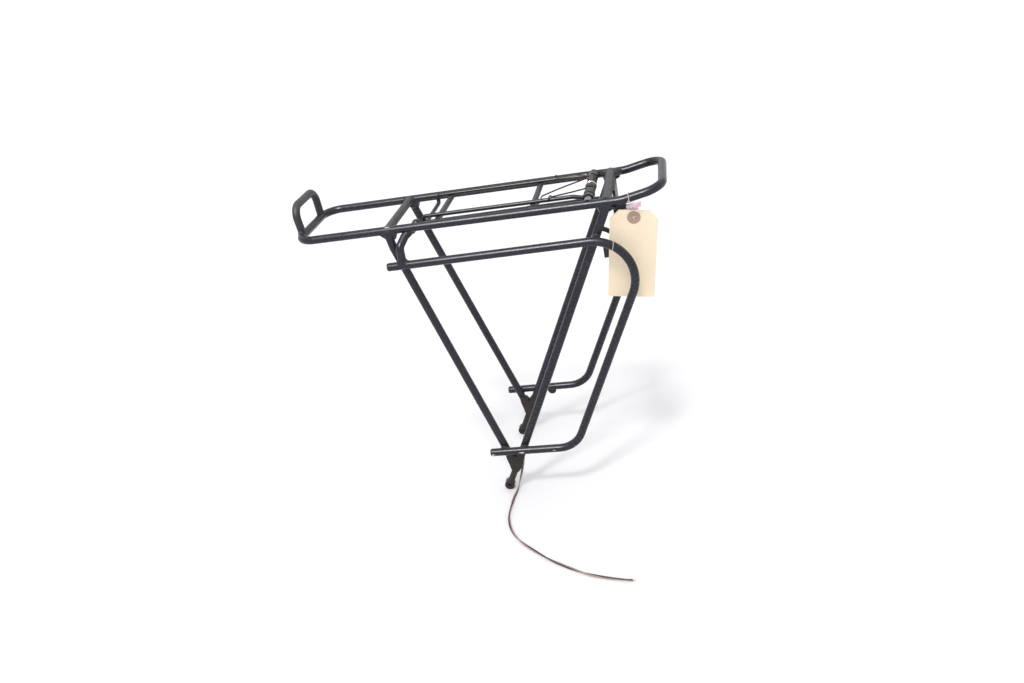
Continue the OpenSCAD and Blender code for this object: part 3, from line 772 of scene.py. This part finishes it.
def lens_face(x, inset):
    """The lens's rear face, which drops off towards its edge."""
    outline = lamp_outline(inset)
    rows, column_step, margin, edge_w = 72, 0.5, 0.05, 1.2
    edge_drop, plain, relief = 1.1, 0.5, 0.6
    ys = np.arange(outline[:, 0].min() + margin, outline[:, 0].max(), column_step)
    upper = outline[outline[:, 1] > LENS_MIDDLE_Z]
    lower = outline[outline[:, 1] <= LENS_MIDDLE_Z]
    upper, lower = upper[np.argsort(upper[:, 0])], lower[np.argsort(lower[:, 0])]
    points = []
    for y in ys:
        low, high = np.interp(y, lower[:, 0], lower[:, 1]), np.interp(y, upper[:, 0], upper[:, 1])
        for z in np.linspace(low, high, rows):
            edge = min(1.0, min(z - low, high - z, y - ys[0], ys[-1] - y) / edge_w)
            points.append((x - edge_drop + edge * (plain + relief * prism_depth(y, z)), y, z))
    faces = [(i * rows + j, (i + 1) * rows + j, (i + 1) * rows + j + 1, i * rows + j + 1)
             for i in range(len(ys) - 1) for j in range(rows - 1)]
    return points, faces


def rear_lamp():
    """The housing with a groove round it and a recess for the lens, and the lens."""
    housing = mm_piece("lamp_shell", [lamp_shell([
        (LAMP_FRONT, 1.6), (LAMP_FRONT + 0.3, 0.7), (LAMP_FRONT + 1.2, 0), (LAMP_BACK - 5.2, 0),
        (LAMP_BACK - 5.0, 0.5), (LAMP_BACK - 4.2, 0.5), (LAMP_BACK - 4.0, 0), (LAMP_BACK - 0.5, 0),
        (LAMP_BACK, 0.5), (LAMP_BACK, 2.2), (LAMP_BACK - 1.4, 2.4)])], LAMP_BLACK)
    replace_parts(housing, "lamp_housing")
    rim = lamp_shell([(LAMP_BACK - 1.0, 2.5), (LENS_BACK - 1.4, 2.6), (LENS_BACK - 0.9, 2.9),
                      (LENS_BACK - 1.3, 3.6)])
    lens = mm_piece("lamp_glass", [rim, lens_face(LENS_BACK, 3.2)], LENS_RED)
    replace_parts(lens, "lamp_lens")


rear_lamp()

# --------------------------------------------------------------------------------------
# Parcel tag: bowed card, string and loose threads
# --------------------------------------------------------------------------------------

TAG_HOLE = (207.0, -55.5, 348.5)
TAG_TILT = math.radians(8.6)
CARD_HALF_W, CARD_FLAT, CARD_BOWED = 27, 8, 90
BACK_BOW, TWIST, CURL = -1.5, 0.7, 0.5
STRING_R, STRING_LAY = 0.42, 2.4
KNOT = (206.2, -61.2, 363.4)


def bowed_card():
    """The CAD card's own outline, cut finely and bowed below its hole."""
    mesh = nodes["tag_card"].data.copy()
    mesh.name = "bowed_card"
    edit = bmesh.new()
    edit.from_mesh(mesh)
    hole = Vector(TAG_HOLE) * MM
    across = Vector((math.cos(TAG_TILT), 0, -math.sin(TAG_TILT)))
    down = Vector((-math.sin(TAG_TILT), 0, -math.cos(TAG_TILT)))
    cut_step = 4
    for way, first, last in ((across, -24, 24), (down, -8, 96)):
        for step in range(first, last, cut_step):
            bmesh.ops.bisect_plane(edit, geom=edit.verts[:] + edit.edges[:] + edit.faces[:],
                                   plane_co=hole + way * step * MM, plane_no=way)
    for vert in edit.verts:
        away = vert.co - hole
        low = max(0.0, away.dot(down) / MM - CARD_FLAT) / CARD_BOWED
        side = away.dot(across) / (CARD_HALF_W * MM)
        vert.co.y += (BACK_BOW * low ** 2 + TWIST * low * side + CURL * low * side ** 2) * MM
    edit.to_mesh(mesh)
    edit.free()
    mesh.materials.clear()
    mesh.materials.append(MANILA)
    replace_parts(add_piece("bowed_card", mesh, "tag"), "tag_card")


def two_ply(line):
    """Two plies twisted round each other along a line."""
    offset = STRING_R / 2 * turned_about(line, 2 * math.pi * length_along(line) / STRING_LAY)
    return [tube(line + offset, STRING_R * 0.56, 8), tube(line - offset, STRING_R * 0.56, 8)]


def knot(middle, size):
    """A small closed tangle of string."""
    turn = np.linspace(0, 2 * math.pi, 80)
    return two_ply(np.stack([middle[0] + size * (np.sin(turn) + 0.9 * np.sin(2 * turn)),
                             middle[1] + 0.6 * size * np.sin(3 * turn),
                             middle[2] + size * (np.cos(turn) - 0.9 * np.cos(2 * turn))], axis=1))


def frayed_threads(rng, centre_x):
    """Fine threads that spread from the knot into a ragged bunch beside the rail."""
    count, thread_r, start = 26, 0.2, (206.2, -61.4, 363.6)
    threads = []
    for _ in range(count):
        x, z = centre_x + rng.uniform(-4.2, 4.2), 364 + rng.uniform(-3.0, 3.0)
        turn, size = rng.uniform(0, 6.3), rng.uniform(1.6, 3.4)
        middle = (x + size * math.cos(turn), -60.6 + rng.uniform(-1.5, 0.8), z + size * math.sin(turn))
        end = (x + 0.7 * size * math.cos(turn + 2), -60.8 + rng.uniform(-1.4, 1.0),
               z + 0.7 * size * math.sin(turn + 2))
        threads.append(tube(smooth_line([start, (x, -61, z), middle, end], 7), thread_r, 5))
    return threads


def tag_string():
    """A loop over the rail and through the hole, its knots, and the frayed bunch beside it."""
    loop = [
        (207, -56.6, 348.8), (207, -55.4, 349.2), (206.9, -54.0, 351.4), (206.6, -53.9, 356.0),
        (206, -56.4, 360.0), (205.4, -60.4, 363.4), (204.8, -62.0, 367.5), (204.3, -61.8, 372.0),
        (204.1, -60.0, 376.0), (204, -57.2, 378.0), (204, -53.6, 378.0), (204, -50.2, 375.2),
        (204.2, -49.2, 370), (204.8, -49.8, 364.6), (205.8, -51.6, 358.4), (206.8, -53.6, 352.2),
        (207.2, -54.8, 348.6), (207, -56.6, 348.2)]
    tail = [KNOT, (206.0, -62.4, 367.6), (203.6, -62.0, 370.6), (202.2, -60.6, 368.4)]
    parts = (two_ply(smooth_line(loop, 12)) + knot(KNOT, 1.3) + knot((207, -56.9, 348.5), 1.0)
             + two_ply(smooth_line(tail, 10)))
    string = mm_piece("string_loop", parts, STRING, "tag")
    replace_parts(string, "tag_string")
    rng = random.Random(7)
    for name, material, centre_x in (("frayed_white", STRING, 206.0), ("frayed_pink", PINK_STRING, 213.0)):
        mm_piece(name, frayed_threads(rng, centre_x), material, "tag")


def thread_ring(centre, normal, lean, lean_at):
    """A thread tied round a tube, leaning along it. lean_at is where it leans most, in degrees."""
    normal = unit(normal)
    u = unit(np.cross(normal, (0, 0, 1)))
    v = np.cross(u, normal)
    turn = np.linspace(0, 2 * math.pi, 72, endpoint=False)[:, None]
    ring_r, thread_r = TUBE_R + 0.25, 0.3
    line = (np.array(centre, float) + ring_r * (np.cos(turn) * u + np.sin(turn) * v)
            + lean * np.cos(turn - math.radians(lean_at)) * normal)
    return tube(line, thread_r, 8, closed=True)


def loose_threads():
    """One on the right rail and one on the left hoop."""
    rings = [thread_ring((186.6, RAIL_Y, DECK_Z), ALONG_X, 2.2, -55),
             thread_ring((180.2, -70.4, 323.5), (0.84, 0, -0.54), 1.8, -60)]
    mm_piece("thread_rings", rings, STRING)


bowed_card()
tag_string()
loose_threads()

# --------------------------------------------------------------------------------------
# Stage and light
# --------------------------------------------------------------------------------------


def stage_material():
    """A matt white that is a little uneven."""
    s = Shader("stage_white")
    grain = s.range(s.noise(3.0, 3.0), 0.3, 0.7)
    s.set(Base_Color=s.mix(grain, rgb(0.93, 0.925, 0.935), rgb(0.95, 0.945, 0.95)), Roughness=0.9)
    return s.material


def make_stage():
    """A plain pale floor that sweeps up into a backdrop well behind the object."""
    floor_start, floor_end, bend, top, half, steps = -6.0, 3.2, 1.2, 6.0, 9.0, 24
    profile = [(floor_start, 0.0), (floor_end, 0.0)]
    for k in range(1, steps + 1):
        turn = math.radians(90 * k / steps)
        profile.append((floor_end + bend * math.sin(turn), bend * (1 - math.cos(turn))))
    profile.append((floor_end + bend, top))
    ground = FLOOR_Z - 0.2 * MM
    points = [(x, y, ground + z) for y, z in profile for x in (-half, half)]
    faces = [(2 * i, 2 * i + 1, 2 * i + 3, 2 * i + 2) for i in range(len(profile) - 1)]
    mesh = bpy.data.meshes.new("floor")
    mesh.from_pydata(points, [], faces)
    mesh.polygons.foreach_set("use_smooth", [True] * len(faces))
    mesh.materials.append(stage_material())
    add_object("floor", mesh)


def make_light():
    """An even pale world, a weak sun, and a soft box that only reflections show."""
    world = bpy.data.worlds.new("studio")
    world.use_nodes = True
    background = world.node_tree.nodes["Background"]
    background.inputs[0].default_value = rgb(0.98, 0.98, 1.0)
    background.inputs[1].default_value = 0.90
    bpy.context.scene.world = world
    sun = bpy.data.lights.new("key", "SUN")
    sun.energy = 0.9
    sun.angle = math.radians(9)
    lamp = add_object("key", sun)
    lamp.rotation_euler = (math.radians(26), 0, math.radians(-3))
    # the soft box draws the highlight along the upper side of the tubes
    middle = Vector((0.03, 0, 0.2))
    box = bpy.data.lights.new("soft_box", "AREA")
    box.shape = "DISK"
    box.size = 0.9
    box.energy = 85
    lamp = add_object("soft_box", box)
    lamp.location = (-0.35, -1.45, 2.15)
    lamp.rotation_mode = "QUATERNION"
    lamp.rotation_quaternion = (middle - lamp.location).to_track_quat("-Z", "Y")
    lamp.visible_diffuse = False
    bpy.context.scene.view_settings.view_transform = "Standard"


make_stage()
make_light()
